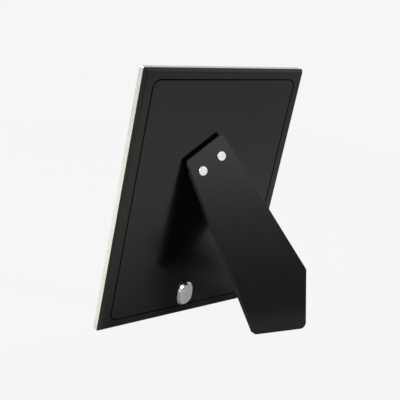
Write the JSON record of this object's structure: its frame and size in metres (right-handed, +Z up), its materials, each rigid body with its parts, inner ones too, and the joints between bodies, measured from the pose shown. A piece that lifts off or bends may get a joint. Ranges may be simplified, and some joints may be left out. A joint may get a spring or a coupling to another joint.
{
  "type": "easel back photo frame",
  "caption": "Table photo frame with a bright metal front, a black bevelled back with a lift-out panel, a quarter-turn latch and a diagonal folding easel leg for upright or sideways display.",
  "frame": {"origin": "middle of the footprint on the table", "axes": "+Z up, the picture faces -Y and the easel leg stands towards +Y, +X to the right as seen from the front"},
  "size_m": [0.184, 0.0944, 0.2319],
  "materials": {
    "silver_plate": "polished silver plate",
    "core_board": "raw fibreboard",
    "picture_glass": "clear float glass",
    "print_paper": "semi-gloss print",
    "grey_card": "plain card",
    "black_lacquer_rim": "satin black lacquer on fibreboard",
    "black_lacquer_panel": "satin black lacquer on fibreboard",
    "black_lacquer_leg": "satin black lacquer on fibreboard",
    "zinc_steel": "zinc plated",
    "black_steel": "black enamelled steel",
    "brass_bush": "turned",
    "nickel_rivet": "bright nickel",
    "nickel_knob": "bright nickel, tumbled"
  },
  "bodies": {
    "frame": {"front_shell": "silver_plate", "core_frame": "core_board", "glass_pane": "picture_glass", "photo_insert": "print_paper", "backing_card": "grey_card", "back_frame": "black_lacquer_rim", "strike_plate": "zinc_steel", "strike_screws": "zinc_steel"},
    "panel": {"back_panel": "black_lacquer_panel", "hinge_fixed_leaf": "black_steel", "hinge_pin": "zinc_steel", "hinge_panel_rivets": "black_steel", "hinge_rivet_washers": "zinc_steel", "latch_bush": "brass_bush", "latch_washer": "zinc_steel"},
    "leg": {"easel_leg": "black_lacquer_leg", "hinge_moving_leaf": "black_steel", "leg_rivets": "nickel_rivet"},
    "latch": {"latch_knob": "nickel_knob", "latch_spindle": "zinc_steel", "latch_tongue": "zinc_steel"}
  },
  "joints": [
    {"name": "panel_lift", "type": "slide", "parent": "frame", "child": "panel", "axis": [0, 0.9872, -0.1595], "range_m": [0, 0.025]},
    {"name": "leg_fold", "type": "hinge", "parent": "panel", "child": "leg", "pos_m": [0.01221, -0.01112, 0.15504], "axis": [-0.8266, 0.0898, 0.5556], "range_deg": [0, 24.5]},
    {"name": "latch_turn", "type": "hinge", "parent": "panel", "child": "latch", "pos_m": [-0.0002, -0.03423, 0.0252], "axis": [0, -0.9872, 0.1595], "range_deg": [0, 90]}
  ]
}
